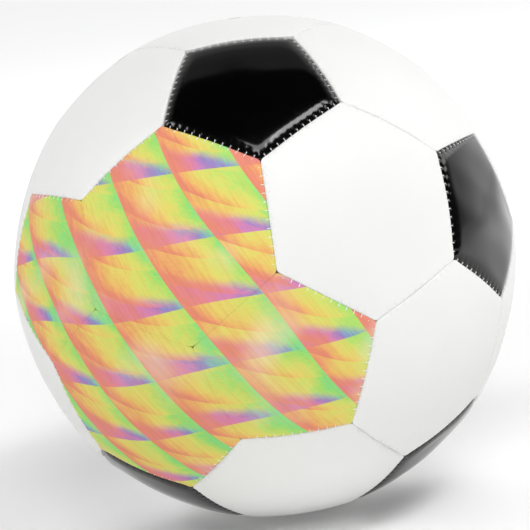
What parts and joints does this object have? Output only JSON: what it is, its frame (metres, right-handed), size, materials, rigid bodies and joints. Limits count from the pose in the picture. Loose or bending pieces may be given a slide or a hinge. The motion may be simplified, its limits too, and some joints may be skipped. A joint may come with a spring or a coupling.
{
  "type": "soccer ball",
  "caption": "Stitched soccer ball with black pentagon and white hexagon panels and one printed face, padded over an inflatable bladder with a needle valve.",
  "frame": {"origin": "centre of the ball, which is the centre of its bounding box", "axes": "+Z out through the valve in the middle of the top hexagon, -Y towards the printed panels, +X to the right when the printed panels face the viewer"},
  "size_m": [0.2192, 0.2188, 0.2174],
  "materials": {
    "white_cover": "smooth satin synthetic leather",
    "black_cover": "high gloss patent synthetic leather",
    "printed_cover": "satin synthetic leather with a multicoloured print",
    "foam": "matt closed-cell foam",
    "lining": "woven cotton and polyester lining",
    "thread": "waxed polyester thread",
    "bladder_rubber": "matt",
    "valve_rubber": "satin"
  },
  "bodies": {
    "ball": {"black_pentagon_panel_01": "black_cover", "black_pentagon_panel_02": "black_cover", "black_pentagon_panel_03": "black_cover", "black_pentagon_panel_04": "black_cover", "black_pentagon_panel_05": "black_cover", "printed_pentagon_panel_06": "printed_cover", "printed_pentagon_panel_07": "printed_cover", "black_pentagon_panel_08": "black_cover", "black_pentagon_panel_09": "black_cover", "black_pentagon_panel_10": "black_cover", "black_pentagon_panel_11": "black_cover", "black_pentagon_panel_12": "black_cover", "white_hexagon_panel_01": "white_cover", "white_hexagon_panel_02": "white_cover", "white_hexagon_panel_03": "white_cover", "printed_hexagon_panel_04": "printed_cover", "white_hexagon_panel_05": "white_cover", "white_hexagon_panel_06": "white_cover", "white_hexagon_panel_07": "white_cover", "white_hexagon_panel_08": "white_cover", "white_hexagon_panel_09": "white_cover", "white_hexagon_panel_10": "white_cover", "white_hexagon_panel_11": "white_cover", "white_hexagon_panel_12": "white_cover", "white_hexagon_panel_13": "white_cover", "printed_hexagon_panel_14": "printed_cover", "white_hexagon_panel_15": "white_cover", "white_hexagon_panel_16": "white_cover", "white_hexagon_panel_17": "white_cover", "white_hexagon_panel_18": "white_cover", "white_hexagon_panel_19": "white_cover", "valve_hexagon_panel": "white_cover", "pentagon_foam_pads": "foam", "hexagon_foam_pads": "foam", "pentagon_linings": "lining", "hexagon_linings": "lining", "pentagon_seam_thread_upper": "thread", "pentagon_seam_thread_lower": "thread", "hexagon_seam_thread_upper": "thread", "hexagon_seam_thread_lower": "thread", "bladder": "bladder_rubber", "valve_patch": "bladder_rubber", "valve_housing": "valve_rubber"},
    "valve_core": {"valve_core": "valve_rubber"}
  },
  "joints": [
    {"name": "valve_core_pull", "type": "slide", "parent": "ball", "child": "valve_core", "axis": [0, 0, 1], "range_m": [0, 0.022]}
  ]
}
